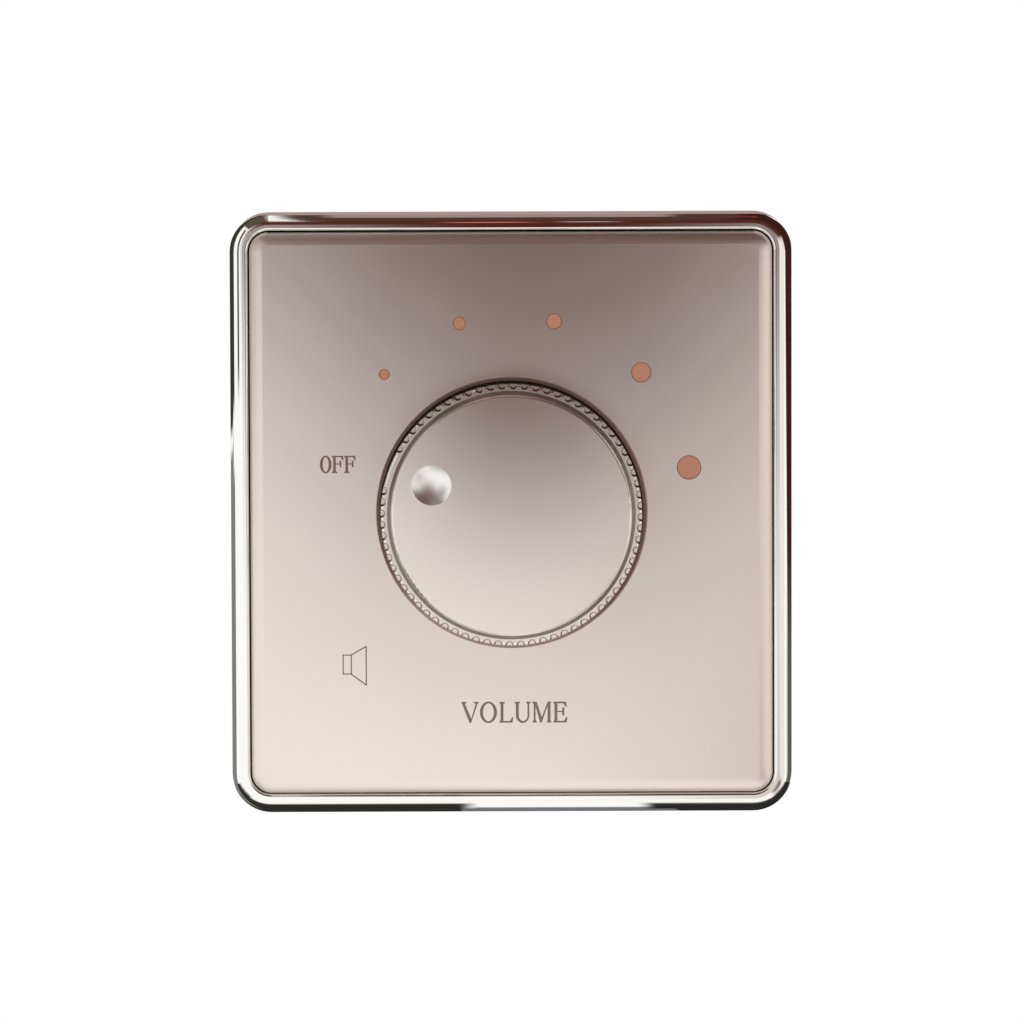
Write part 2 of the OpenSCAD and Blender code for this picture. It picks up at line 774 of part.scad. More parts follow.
module switch_base() color("peru") upright() {
    feet = 4;
    foot_r = 1;
    difference() {
        union() {
            translate([0, 0, base_back]) cylinder(r = case_r, h = base_t);
            translate([0, 0, base_back]) cylinder(r = case_in_r - press_fit, h = spigot_z - base_back);
            for (i = [0 : feet - 1])
                polar((i + 0.5) * 360 / feet, case_in_r)
                    translate([0, 0, board_z]) cylinder(r = foot_r, h = board_stand + bed);
        }
        translate([0, 0, base_back - over])
            cylinder(r = pivot_r + run_fit, h = spigot_z - base_back + 2 * over);
        switch_pins(contact_angles, contact_r, pin_r + press_fit);
        switch_pins(common_angles, common_r, pin_r + press_fit);
    }
}

// Pins of the fixed contacts, from the face of the base to the back of the board
module switch_pins(angles, circle_r, r) {
    start = board_back - pin_out;
    for (a = angles)
        polar(a, circle_r)
            translate([0, 0, start]) cylinder(r = r, h = spigot_z - start, $fn = pin_fn);
}

module position_contacts() color("#d8b25a") upright() {
    switch_pins(contact_angles, contact_r, pin_r);
    for (a = contact_angles)
        polar(a, contact_r)
            translate([0, 0, spigot_z]) cylinder(r = head_r, h = contact_t, $fn = pin_fn);
}

module common_contacts() color("#d8b25a") upright() {
    half = turn / 2 + arc_over;
    switch_pins(common_angles, common_r, pin_r);
    for (a = common_angles)
        translate([0, 0, spigot_z])
            sector(common_r - blade_w / 2, common_r + blade_w / 2, a - half, a + half, contact_t);
}

// Yoke and board

module yoke_fold() {
    bend = 2 * yoke_t;
    rotate([90, 0, 90])
        linear_extrude(height = yoke_w - 2 * yoke_corner, center = true)
            translate([yoke_h / 2 - bend, 0]) {
                difference() {
                    intersection() {
                        translate([0, bend]) circle(bend);
                        square(bend);
                    }
                    translate([0, bend]) circle(bend - yoke_t);
                }
                translate([bend - yoke_t, bend]) square([yoke_t, fold_h - bend]);
            }
}

module mounting_yoke() color("#b8bcc2") upright() {
    bend = 2 * yoke_t;
    difference() {
        union() {
            linear_extrude(height = yoke_t) rounded_rect(yoke_w, yoke_h - 2 * bend, yoke_corner);
            for (up = [0, 1]) mirror([0, up, 0]) yoke_fold();
        }
        translate([0, 0, -over]) {
            cylinder(d = bush_d + 2 * screw_fit, h = yoke_t + 2 * over);
            translate([0, lug_y, 0]) cylinder(r = lug_r + screw_fit, h = yoke_t + 2 * over);
            for (x = [-1, 1])
                translate([x * screw_pitch / 2, 0, 0]) long_hole(slot_len, slot_w, yoke_t + 2 * over);
            at_each(board_screws_at) cylinder(r = screw_r + press_fit, h = yoke_t + 2 * over);
            for (x = [-hook_x, hook_x], up = [0, 1])
                mirror([0, up, 0])
                    translate([x - hook_w / 2 - screw_fit, hook_in - barb - screw_fit, 0])
                        cube([hook_w + 2 * screw_fit, hook_t + barb + 2 * screw_fit, yoke_t + 2 * over]);
        }
    }
}

module board_standoffs() color("darkkhaki") upright()
    at_each(board_screws_at)
        difference() {
            union() {
                translate([0, 0, board_z]) cylinder(d = standoff_d, h = -board_z);
                cylinder(r = screw_r, h = yoke_t);
            }
            translate([0, 0, board_z - over]) cylinder(r = tapped_r, h = tapped_len + over);
        }

module cross_recess(r, depth) {
    for (arm = [0, 90])
        rotate([0, 0, arm]) translate([-r, -r / 4, 0]) cube([2 * r, r / 2, depth]);
}

// Pan head with its top at the origin's far side, pointing along +z
module pan_screw(shank_r, len) {
    difference() {
        translate([0, 0, -screw_head_h]) cylinder(r = screw_head_r, h = screw_head_h);
        translate([0, 0, -screw_head_h - over]) cross_recess(screw_head_r / 2, over + screw_head_h / 2);
    }
    cylinder(r = shank_r, h = len);
}

module board_screws() color("silver") upright()
    at_each(board_screws_at)
        translate([0, 0, board_back])
            pan_screw(tapped_r - press_fit, board_t + tapped_len - tapped_spare);

module circuit_board() color("#b98a4a") upright()
    translate([0, 0, board_back])
        difference() {
            linear_extrude(height = board_t) rounded_rect(board_w, board_h, board_corner);
            translate([0, 0, -board_back]) {
                switch_pins(contact_angles, contact_r, pin_r + screw_fit);
                switch_pins(common_angles, common_r, pin_r + screw_fit);
            }
            translate([0, 0, -over]) {
                at_each(concat(board_screws_at, strap_screws_at))
                    cylinder(r = screw_r + screw_fit, h = board_t + 2 * over);
                at_each(concat(taps_at, ways_at))
                    cylinder(r = pin_r + screw_fit, h = board_t + 2 * over, $fn = pin_fn);
            }
        }

// Transformers

module core(side) {
    leg = core_leg;
    translate([side * core_x, core_y, core_top - core_h])
        rotate([90, 0, 90])
            linear_extrude(height = core_stack, center = true)
                difference() {
                    translate([-core_w / 2, 0]) square([core_w, core_h]);
                    for (s = [-1.5, 1.5]) translate([(s - 0.5) * leg, leg]) square([leg, 3 * leg]);
                }
}

module core_left() color("#6f7479") upright() core(-1);
module core_right() color("#6f7479") upright() core(1);

module bobbin(side) {
    tube_x = core_stack / 2 + lap;
    tube_y = core_leg + lap;
    flange_y = 2 * core_leg - lap;
    low = core_top - 4 * core_leg + lap;
    high = core_top - core_leg - lap;
    translate([side * core_x, core_y, 0]) {
        difference() {
            union() {
                translate([-tube_x - bobbin_t, -tube_y - bobbin_t, low])
                    cube([2 * (tube_x + bobbin_t), 2 * (tube_y + bobbin_t), high - low]);
                for (z = [low, high - bobbin_t])
                    translate([-coil_half, -flange_y, z]) cube([2 * coil_half, 2 * flange_y, bobbin_t]);
            }
            translate([-tube_x, -tube_y, low - over]) cube([2 * tube_x, 2 * tube_y, high - low + 2 * over]);
        }
        difference() {
            translate([side > 0 ? coil_half - rail_w : -coil_half, -flange_y, high - bobbin_t])
                cube([rail_w, 2 * flange_y, board_back - high + bobbin_t]);
            for (y = tap_ys)
                translate([side * (tap_x - core_x), y - core_y, high])
                    cylinder(r = pin_r + press_fit, h = board_back - high + over, $fn = pin_fn);
        }
    }
}

module bobbin_left() color("ivory") upright() bobbin(-1);
module bobbin_right() color("ivory") upright() bobbin(1);

module winding(side) {
    inner_x = core_stack / 2 + lap + bobbin_t + press_fit;
    inner_y = core_leg + lap + bobbin_t + press_fit;
    tape_x = coil_half - tape_in;
    tape_y = 2 * core_leg - 2 * lap;
    low = core_top - 4 * core_leg + lap + bobbin_t + press_fit;
    high = core_top - core_leg - lap - bobbin_t - press_fit;
    translate([side * core_x, core_y, low])
        linear_extrude(height = high - low)
            difference() {
                rounded_rect(2 * tape_x, 2 * tape_y, tape_corner);
                square([2 * inner_x, 2 * inner_y], center = true);
            }
}

module winding_left() color("gold") upright() winding(-1);
module winding_right() color("gold") upright() winding(1);

module core_strap(side) {
    half = core_w / 2;
    top = core_top - core_h;
    translate([side * core_x, core_y, 0])
        difference() {
            rotate([90, 0, 90])
                linear_extrude(height = strap_w, center = true) {
                    difference() {
                        union() {
                            translate([-half - strap_t, top + strap_t])
                                square([core_w + 2 * strap_t, board_back - top - strap_t]);
                            translate([-half, top - strap_t]) square([core_w, 2 * strap_t]);
                            for (s = [-1, 1]) translate([s * half, top]) circle(strap_t);
                            translate([-half - strap_t, top])
                                square([core_w + 2 * strap_t, 2 * strap_t]);
                        }
                        translate([-half, top]) square([core_w, board_back - top + over]);
                    }
                    for (s = [0, 1])
                        mirror([s, 0]) {
                            translate([half, board_back - strap_t]) square([strap_t + foot_len, strap_t]);
                            translate([half - strap_lip, core_top]) square([strap_lip + strap_t, strap_t]);
                        }
                }
            for (s = [-1, 1])
                translate([0, s * foot_y, board_back - strap_t - over])
                    cylinder(r = screw_r + screw_fit, h = strap_t + 2 * over);
        }
}

module core_strap_left() color("#aeb4ba") upright() core_strap(-1);
module core_strap_right() color("#aeb4ba") upright() core_strap(1);

module strap_screws() color("silver") upright()
    at_each(strap_screws_at)
        translate([0, 0, board_back - strap_t])
            pan_screw(screw_r - press_fit, strap_t + board_t + strap_nut_t + nut_spare);

module strap_nuts() color("silver") upright()
    at_each(strap_screws_at)
        translate([0, 0, board_z]) hex_nut(strap_nut_af, 2 * screw_r, strap_nut_t);

module transformer_pins() color("#d9d4c5") upright() {
    start = core_top - core_leg - lap;
    at_each(taps_at)
        translate([0, 0, start]) cylinder(r = pin_r, h = board_z + pin_out - start, $fn = pin_fn);
}

// Terminals

module terminal_block(side) {
    edge_y = -board_h / 2;
    low = board_back - block_h;
    entry_z = board_back - entry_floor - entry_h;
    difference() {
        translate([side * block_x - block_w / 2, edge_y, low]) cube([block_w, block_d, block_h]);
        for (i = [0 : ways - 1])
            translate([side * block_x + (i - (ways - 1) / 2) * way_pitch, 0, 0]) {
                translate([-entry_w / 2, edge_y - over, entry_z])
                    cube([entry_w, entry_len + over, entry_h]);
                translate([0, way_y, low - over]) cylinder(r = shaft_well_r, h = entry_z - low + 2 * over);
                translate([0, way_y, board_back - entry_floor - over])
                    cylinder(r = pin_r + press_fit, h = entry_floor + 2 * over, $fn = pin_fn);
            }
    }
}

module terminal_block_in() color("forestgreen") upright() terminal_block(-1);
module terminal_block_out() color("forestgreen") upright() terminal_block(1);

module wire_clamps() color("lightgray") upright() {
    cage_w = entry_w - 2 * press_fit;
    high = board_back - entry_floor;
    low = high - entry_h + 2 * press_fit;
    mouth_w = cage_w - 2 * cage_wall;
    mouth_h = high - low - cage_roof - cage_wall;
    at_each(ways_at) {
        difference() {
            translate([-cage_w / 2, -cage_len / 2, low]) cube([cage_w, cage_len, high - low]);
            translate([-mouth_w / 2, -cage_len / 2 - over, low + cage_roof])
                cube([mouth_w, cage_len + 2 * over, mouth_h]);
            translate([0, 0, low - over])
                cylinder(r = clamp_shank_r + press_fit, h = cage_roof + 2 * over, $fn = pin_fn);
        }
        translate([0, 0, high]) cylinder(r = pin_r, h = board_z + pin_out - high, $fn = pin_fn);
    }
}

module clamp_screws() color("silver") upright() {
    roof = board_back - entry_floor - entry_h + 2 * press_fit;
    at_each(ways_at)
        translate([0, 0, roof]) {
            difference() {
                translate([0, 0, -clamp_head_h]) cylinder(r = clamp_head_r, h = clamp_head_h);
                translate([-clamp_head_r - over, -slot_cut / 2, -clamp_head_h - over])
                    cube([2 * (clamp_head_r + over), slot_cut, clamp_head_h / 2 + over]);
            }
            cylinder(r = clamp_shank_r, h = cage_roof + clamp_reach, $fn = pin_fn);
        }
}

bezel_frame();
face_panel();
control_knob();
knob_clip();
switch_shaft();
shaft_circlip();
detent_wheel();
switch_rotor();
wiper_contacts();
switch_case();
switch_bush();
switch_nut();
lock_washer();
detent_spring();
switch_base();
position_contacts();
common_contacts();
mounting_yoke();
board_standoffs();
board_screws();
circuit_board();
core_left();
core_right();
bobbin_left();
bobbin_right();
winding_left();
winding_right();
core_strap_left();
core_strap_right();
strap_screws();
strap_nuts();
transformer_pins();
terminal_block_in();
terminal_block_out();
wire_clamps();
clamp_screws();
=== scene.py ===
import bpy
import bmesh
import json
import math
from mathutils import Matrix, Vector


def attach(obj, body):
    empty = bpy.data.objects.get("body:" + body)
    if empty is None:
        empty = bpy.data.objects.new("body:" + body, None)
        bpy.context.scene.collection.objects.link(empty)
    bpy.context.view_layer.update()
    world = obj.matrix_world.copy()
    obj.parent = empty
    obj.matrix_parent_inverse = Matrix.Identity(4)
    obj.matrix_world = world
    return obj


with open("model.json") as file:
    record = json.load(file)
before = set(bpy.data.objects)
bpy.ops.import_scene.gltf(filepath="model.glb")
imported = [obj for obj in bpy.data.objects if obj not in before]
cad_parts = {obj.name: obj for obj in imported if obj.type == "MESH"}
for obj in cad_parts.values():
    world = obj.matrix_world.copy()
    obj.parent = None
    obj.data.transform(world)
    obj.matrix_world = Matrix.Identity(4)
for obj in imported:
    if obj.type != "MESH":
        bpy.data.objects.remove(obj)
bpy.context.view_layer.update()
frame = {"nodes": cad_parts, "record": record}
cadNodes = frame["nodes"]
mm = 0.001
white = (1, 1, 1, 1)
print("frame loaded:", len(cadNodes), "nodes")


# from bench millimetres (right, up, out of the wall) to the frame's metres
def place(right, up, out):
    return Vector((right * mm, -out * mm, up * mm))


# from a screen colour, 0 to 255, to the shader's linear one
def linear(rgb):
    return [((c / 255 + 0.055) / 1.055) ** 2.4 if c > 10 else c / 255 / 12.92 for c in rgb] + [1]


def shade(color, factor):
    return [c * factor for c in color[:3]] + [1]


def link(name, data):
    obj = bpy.data.objects.new(name, data)
    bpy.context.scene.collection.objects.link(obj)
    return obj


# camera

camera = {
    "distance": 800,  # mm from the wall face
    "raise": 2.6,  # degrees above the knob's axis
    "pxPerMm": 6.484,  # at the wall face
    "pixels": 1024,  # width of the picture
    "sensor": 36,
    "aim": (0.22, -0.34, 0),  # bench mm that lands in the middle of the picture
    "roll": 0.2,  # degrees that the plate leans over to the left
    "clip": (0.01, 50),  # metres
}


def setCamera(c):
    data = bpy.data.cameras.new("photo_camera")
    data.sensor_width = c["sensor"]
    data.lens = c["pxPerMm"] * c["distance"] * c["sensor"] / c["pixels"]
    data.clip_start, data.clip_end = c["clip"]
    obj = link("photo_camera", data)
    lift = math.radians(c["raise"])
    back = place(0, c["distance"] * math.sin(lift), c["distance"] * math.cos(lift))
    obj.location = place(*c["aim"]) + back
    obj.rotation_euler = (math.pi / 2 - lift, math.radians(c["roll"]), 0)
    bpy.context.scene.camera = obj


setCamera(camera)
print("camera set")


# nodes, in a material or in the world

def newMaterial(name):
    mat = bpy.data.materials.new(name)
    mat.use_nodes = True
    return mat


def add(mat, kind, **values):
    node = mat.node_tree.nodes.new(kind)
    for key, value in values.items():
        if key in node.inputs:
            node.inputs[key].default_value = value
        else:
            setattr(node, key, value)
    return node


def wire(mat, out, into):
    mat.node_tree.links.new(out, into)


# each value is a number or another node's output
def maths(mat, operation, *values):
    node = add(mat, "ShaderNodeMath", operation=operation)
    for value, socket in zip(values, node.inputs):
        if isinstance(value, bpy.types.NodeSocket):
            wire(mat, value, socket)
        else:
            socket.default_value = value
    return node.outputs[0]


def ramp(mat, value, fromEnds, toEnds=(0, 1), kind="LINEAR"):
    node = add(mat, "ShaderNodeMapRange", interpolation_type=kind)
    for name, end in zip(("From Min", "From Max", "To Min", "To Max"), (*fromEnds, *toEnds)):
        node.inputs[name].default_value = end
    wire(mat, value, node.inputs["Value"])
    return node.outputs["Result"]


# both inputs and the output of a mix
def mixer(mat, factor, kind):
    node = add(mat, "ShaderNodeMix", data_type=kind)
    wire(mat, factor, node.inputs["Factor"])
    return node.inputs["A"], node.inputs["B"], node.outputs["Result"]


def mixShaders(mat, factor, first, second):
    node = add(mat, "ShaderNodeMixShader")
    for out, socket in zip((factor, first, second), node.inputs):
        wire(mat, out, socket)
    return node.outputs[0]


def axesOf(mat):
    node = add(mat, "ShaderNodeSeparateXYZ")
    wire(mat, add(mat, "ShaderNodeTexCoord").outputs["Object"], node.inputs[0])
    return node.outputs


# patches: parts of a piece where its finish differs, or where shade, reflection or highlight is painted into
# its colour

# distance in the wall's plane from a point or a box's core, in a piece's own coordinates
def reach(mat, centre, core):
    value = add(mat, "ShaderNodeTexCoord").outputs["Object"]
    steps = [
        ("SUBTRACT", place(*centre, 0)), ("ABSOLUTE", None), ("SUBTRACT", place(*core, 0)),
        ("MAXIMUM", place(0, 0, 0)), ("MULTIPLY", (1, 0, 1)), ("LENGTH", None),
    ]
    for operation, by in steps:
        node = add(mat, "ShaderNodeVectorMath", operation=operation)
        wire(mat, value, node.inputs[0])
        if by is not None:
            node.inputs[1].default_value = by
        value = node.outputs["Value" if operation == "LENGTH" else "Vector"]
    return value


# height over the wall
def height(mat):
    return maths(mat, "MULTIPLY", axesOf(mat)["Y"], -1)


# 0 at one measure and 1 at the other, both in mm
def slope(mat, value, zero, full):
    return ramp(mat, value, (zero * mm, full * mm))


# puts a value in place of what the socket gets, as far as the factor says
def overlay(mat, factor, socket, value):
    first, second, out = mixer(mat, factor, "RGBA" if socket.type == "RGBA" else "FLOAT")
    if socket.links:
        wire(mat, socket.links[0].from_socket, first)
    else:
        first.default_value = socket.default_value
    second.default_value = value
    wire(mat, out, socket)


# where it is, by rings of distance and heights over the wall, and what the finish is there
def patch(mat, p):
    shader = mat.node_tree.nodes["Principled BSDF"]
    masks = [slope(mat, height(mat), *pair) for pair in p.get("heights", [])]
    if "rings" in p:
        away = reach(mat, p.get("centre", (0, 0)), p.get("core", (0, 0)))
        masks += [slope(mat, away, *pair) for pair in p["rings"]]
    factor = masks[0]
    for mask in masks[1:]:
        factor = maths(mat, "MULTIPLY", factor, mask)
    if "rgb" in p:
        overlay(mat, factor, shader.inputs["Base Color"], linear(p["rgb"]))
    for name in ("Metallic", "Roughness"):
        if name.lower() in p:
            overlay(mat, factor, shader.inputs[name], p[name.lower()])


# finishes

grainNoise = {
    "rough": 0.55,
    "span": (0.3, 0.7),  # where most of the noise lies
    "fineDetail": 4,
    "wideDetail": 3,
    "wideScale": 60,  # blotches per metre
}
plainFinish = dict(stretch=(1, 1, 1), swing=0.05, drift=0.05, depth=0.004, patches=[])


def noise(mat, stretch, scale, detail):
    coords = add(mat, "ShaderNodeTexCoord")
    mapping = add(mat, "ShaderNodeMapping", Scale=stretch)
    wire(mat, coords.outputs["Object"], mapping.inputs["Vector"])
    tex = add(mat, "ShaderNodeTexNoise", Scale=scale, Detail=detail, Roughness=grainNoise["rough"])
    wire(mat, mapping.outputs["Vector"], tex.inputs["Vector"])
    return tex.outputs["Fac"]


# grain per metre and its stretch, how far it swings the colour, its depth in mm, how far the roughness drifts
def surface(name, given):
    f = {**plainFinish, **given}
    color = linear(f["rgb"])
    rough = f["roughness"]
    mat = newMaterial(name)
    shader = mat.node_tree.nodes["Principled BSDF"]
    shader.inputs["Base Color"].default_value = color
    shader.inputs["Metallic"].default_value = f["metallic"]
    shader.inputs["Roughness"].default_value = rough

    fine = noise(mat, f["stretch"], f["grain"], grainNoise["fineDetail"])
    low, high, grainy = mixer(mat, ramp(mat, fine, grainNoise["span"]), "RGBA")
    low.default_value = shade(color, 1 - f["swing"])
    high.default_value = shade(color, 1 + f["swing"])
    wire(mat, grainy, shader.inputs["Base Color"])
    bump = add(mat, "ShaderNodeBump", Strength=1, Distance=f["depth"] * mm)
    wire(mat, fine, bump.inputs["Height"])
    wire(mat, bump.outputs["Normal"], shader.inputs["Normal"])

    wide = noise(mat, plainFinish["stretch"], grainNoise["wideScale"], grainNoise["wideDetail"])
    drifting = ramp(mat, wide, grainNoise["span"], (rough - f["drift"], rough + f["drift"]))
    wire(mat, drifting, shader.inputs["Roughness"])
    for p in f["patches"]:
        patch(mat, p)
    return mat


unplated = dict(rgb=(38, 39, 42), metallic=0, roughness=0.5)
# painted shade: a dark, matt colour stands in for the shade down in the gap round the panel
panelGapShade = dict(heights=[(8.42, 8.22)], rgb=(34, 26, 23), metallic=0, roughness=0.6)
# painted shade: a near-black, matt colour stands in for the shade down in the gap on the bezel's side
bezelGapShade = dict(rgb=(24, 22, 21), metallic=0, roughness=0.6)
gapSides = dict(centre=(0, 0.25), core=(39.9, 42.65))  # panel's outline at the top and sides
bezelCore = dict(core=(36.8, 39.8))  # corners lie in the middle of the bezel's corner rounds

finishes = {
    "champagne_lacquer": dict(
        rgb=(243, 233, 225), metallic=0.95, roughness=0.292,
        grain=5200, swing=0.02, drift=0.012, depth=0.0012,
        patches=[
            dict(  # well's bevel, painted shade and reflection: a brown, half-matt colour stands in for its dark ring
                centre=(0.08, 0), rings=[(20.76, 20.66)], rgb=(162, 136, 124), metallic=0.3, roughness=0.4,
            ),
            dict(  # foot of the bevel, painted reflection: lighter towards the bottom, as where it mirrors the bright floor
                centre=(-3, -17), rings=[(19, 8)], heights=[(8.94, 8.9)], rgb=(224, 200, 187), metallic=0.1,
            ),
            dict(core=(34, 37), rings=[(3.2, 4.6)], roughness=0.34),  # rolled edge
            dict(heights=[(8.42, 8.22)], rgb=(214, 204, 196), metallic=0, roughness=0.6),  # gap at the foot
            # painted shade: the panel's side goes dark down in the gap at the top and sides
            dict(gapSides, rings=[(0.38, 0.3)], **panelGapShade),
        ],
    ),
    "bright_plating": dict(
        rgb=(251, 250, 247), metallic=1, roughness=0.05,
        grain=900, swing=0.01, drift=0.015, depth=0.0006,
        patches=[
            dict(unplated, heights=[(0.06, 0.03)]),  # back
            dict(unplated, **bezelCore, rings=[(4.6, 4.5)], heights=[(6, 5.9)]),  # inside of the skirt
            dict(bezelCore, rings=[(3.75, 3.6)], roughness=0.12),  # inner round
            dict(  # side next to the panel
                bezelCore, rings=[(3.36, 3.34)], heights=[(9, 8.9)],
                rgb=(236, 228, 220), metallic=0, roughness=0.6,
            ),
            # painted shade: the bezel's inner wall goes dark down in the gap at the top and sides
            dict(bezelGapShade, **gapSides, rings=[(0.45, 0.35)], heights=[(8.6, 8.45)]),
            dict(bezelGapShade, centre=(0, 43.05), core=(37, 0), rings=[(0.2, 0.12)], heights=[(9, 8.9)]),  # top, painted shade: a thin dark line along the bezel's inner edge
        ],
    ),
    "spring_steel": dict(rgb=(150, 152, 156), metallic=1, roughness=0.32, grain=2600, stretch=(1, 1, 0.1)),
    "turned_steel": dict(rgb=(196, 197, 199), metallic=1, roughness=0.27, grain=3000, stretch=(1, 0.2, 1)),
    "turned_brass": dict(rgb=(206, 170, 96), metallic=1, roughness=0.28, grain=2800, stretch=(1, 0.2, 1)),
    "brown_phenolic": dict(
        rgb=(128, 82, 48), metallic=0, roughness=0.55, grain=900, swing=0.14, stretch=(1, 1, 3),
    ),
    "black_moulding": dict(unplated, grain=3200, swing=0.1, depth=0.01),
    "tinned_metal": dict(rgb=(205, 203, 196), metallic=1, roughness=0.3, grain=1400, swing=0.07),
    "zinc_sheet": dict(
        rgb=(196, 199, 202), metallic=1, roughness=0.36, grain=320, swing=0.08, drift=0.1, depth=0.002,
    ),
    "board_laminate": dict(rgb=(176, 134, 76), metallic=0, roughness=0.48, grain=1500, swing=0.09),
    "core_laminations": dict(
        rgb=(104, 107, 112), metallic=1, roughness=0.45, grain=1700, swing=0.2, stretch=(1.6, 0.02, 0.02),
        depth=0.03,
    ),
    "pale_nylon": dict(rgb=(226, 220, 202), metallic=0, roughness=0.5, grain=1900, swing=0.03),
    "winding_tape": dict(rgb=(222, 178, 48), metallic=0, roughness=0.26, grain=500, swing=0.06, depth=0.02),
    "green_moulding": dict(
        rgb=(34, 112, 62), metallic=0, roughness=0.45, grain=3000, swing=0.08, depth=0.008,
    ),
}

looks = {name: surface(name, f) for name, f in finishes.items()}
for part in frame["record"]["subparts"]:
    obj = cadNodes[part["node"]]
    obj.data.materials.clear()
    obj.data.materials.append(looks[part["material_slot"]])

knobFinish = dict(
    finishes["champagne_lacquer"],
    rgb=(245, 235, 227),
    patches=[
        dict(rings=[(18.7, 18.8)], roughness=0.1),  # polished shoulder
        dict(  # cap's side, painted reflection: a dark band stands in for the darkness its round shows
            rings=[(18.14, 18.18), (18.76, 18.72)], rgb=(118, 107, 100), metallic=0.6, roughness=0.3,
        ),
        dict(  # flutes, painted shade: darker down in the grooves
            rings=[(18.85, 18.9)], heights=[(18.22, 18.1), (16.86, 16.95)], rgb=(84, 70, 62), roughness=0.3,
        ),
        dict(centre=(-12.18, 4.68), rings=[(3.1, 2.9)], rgb=(255, 251, 247), roughness=0.35),  # dimple, rougher, with painted highlight: a whiter copy of the lacquer
        # painted shade: the knob's foot goes dark down in the well
        panelGapShade,
    ],
)
cadNodes["control_knob"].data.materials[0] = surface("knob_lacquer", knobFinish)
print("finishes on nodes:", len(looks) + 1)


# printed marks on the panel

marks = {
    "face": 8.95,  # panel's face over the wall, bench mm
    "film": 0.02,  # thickness of the ink
    "ringSteps": 64,
    "arcSteps": 20,
    "dots": [  # right, up, diameter
        (-19.29, 21.11, 1.68),
        (-7.82, 28.85, 2.05),
        (6.59, 29.1, 2.47),
        (19.84, 21.29, 3.11),
        (27.11, 6.77, 3.74),
    ],
    "dotRim": 0.16,
    "dotInk": (184, 125, 97),
    "rimInk": (138, 90, 68),
}


def inkFinish(name, rgb):
    return surface(name, dict(rgb=rgb, metallic=0, roughness=0.5, grain=4200, depth=0.002))


# closed outlines in bench mm, filled with their holes, become one thin film on the panel
def inkPiece(name, outlines, ink, lift=0):
    curve = bpy.data.curves.new(name, "CURVE")
    curve.dimensions = "2D"
    curve.fill_mode = "BOTH"
    curve.extrude = marks["film"] * mm / 2
    for points in outlines:
        spline = curve.splines.new("POLY")
        spline.points.add(len(points) - 1)
        for p, (x, y) in zip(spline.points, points):
            p.co = (x * mm, y * mm, 0, 1)
        spline.use_cyclic_u = True
    flat = link(name + "_line", curve)
    bpy.context.view_layer.update()
    mesh = bpy.data.meshes.new_from_object(flat.evaluated_get(bpy.context.evaluated_depsgraph_get()))
    bpy.data.objects.remove(flat)
    out = marks["face"] + marks["film"] / 2 + lift
    for v in mesh.vertices:
        v.co = place(v.co.x / mm, v.co.y / mm, out + v.co.z / mm)
    mesh.name = name
    mesh.materials.clear()
    mesh.materials.append(ink)
    obj = link(name, mesh)
    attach(obj, "wall_unit")


def ring(cx, cy, rx, ry):
    turns = [2 * math.pi * i / marks["ringSteps"] for i in range(marks["ringSteps"])]
    return [(cx + rx * math.cos(t), cy + ry * math.sin(t)) for t in turns]


def scaleDots():
    fills = []
    rims = []
    for x, y, d in marks["dots"]:
        outer = d / 2
        inner = outer - marks["dotRim"]
        fills.append(ring(x, y, inner, inner))
        rims += [ring(x, y, outer, outer), ring(x, y, inner, inner)]
    inkPiece("scale_dots", fills, inkFinish("dot_ink", marks["dotInk"]))
    inkPiece("dot_rims", rims, inkFinish("rim_ink", marks["rimInk"]))


scaleDots()
print("dots printed")


# letters: each is drawn in a box one unit high, from stems, hairlines and slanted serifs

serifRoot = 0.12  # how far up the stem a serif starts
serifEdge = 0.045  # its thickness at the tip
overshoot = 0.015  # how far rounds and points pass the line


def foot(x0, x1, serif):
    return [
        (x0, serifRoot), (x0 - serif, serifEdge), (x0 - serif, 0),
        (x1 + serif, 0), (x1 + serif, serifEdge), (x1, serifRoot),
    ]


def head(x0, x1, serif):
    return [(x, 1 - y) for x, y in reversed(foot(x0, x1, serif))]


def arc(cx, cy, rx, ry, start, stop):
    steps = marks["arcSteps"]
    turns = [math.radians(start + (stop - start) * i / steps) for i in range(steps + 1)]
    return [(cx + rx * math.cos(t), cy + ry * math.sin(t)) for t in turns]


# left and right of the first stem
def firstStem(p):
    return p["serif"], p["serif"] + p["stem"]


# upper arm with its slanted end, and the short middle arm with its upright serif
def arms(w, p, x):
    mid = 0.53
    half = p["hair"] * 0.4
    tip = 0.66 * w
    return [
        (x, mid - half), (tip, mid - half), (tip, mid - 0.18), (tip + 0.1, mid - 0.2), (tip + 0.1, mid + 0.2),
        (tip, mid + 0.18), (tip, mid + half), (x, mid + half), (x, 1 - p["hair"]), (w - 0.17, 1 - p["hair"]),
        (w - 0.08, 0.77), (w, 0.75), (w - 0.04, 1),
    ]


# foot of the stem and the lower arm with its slanted end
def sill(w, p):
    x0, x1 = firstStem(p)
    return foot(x0, x1, p["serif"])[:3] + [
        (w - 0.04, 0), (w, 0.27), (w - 0.07, 0.25), (w - 0.16, p["hair"]), (x1, p["hair"]),
    ]


def letterO(w, p):
    tall = 0.5 + overshoot
    side = 1.08 * p["stem"]
    return [ring(w / 2, 0.5, w / 2, tall), ring(w / 2, 0.5, w / 2 - side, tall - p["hair"] * 1.15)]


def letterF(w, p):
    x0, x1 = firstStem(p)
    return [foot(x0, x1, p["serif"]) + arms(w, p, x1) + head(x0, x1, p["serif"])[3:]]


def letterE(w, p):
    x0, x1 = firstStem(p)
    return [sill(w, p) + arms(w - 0.03, p, x1) + head(x0, x1, p["serif"])[3:]]


def letterL(w, p):
    x0, x1 = firstStem(p)
    return [sill(w, p) + head(x0, x1, p["serif"])]


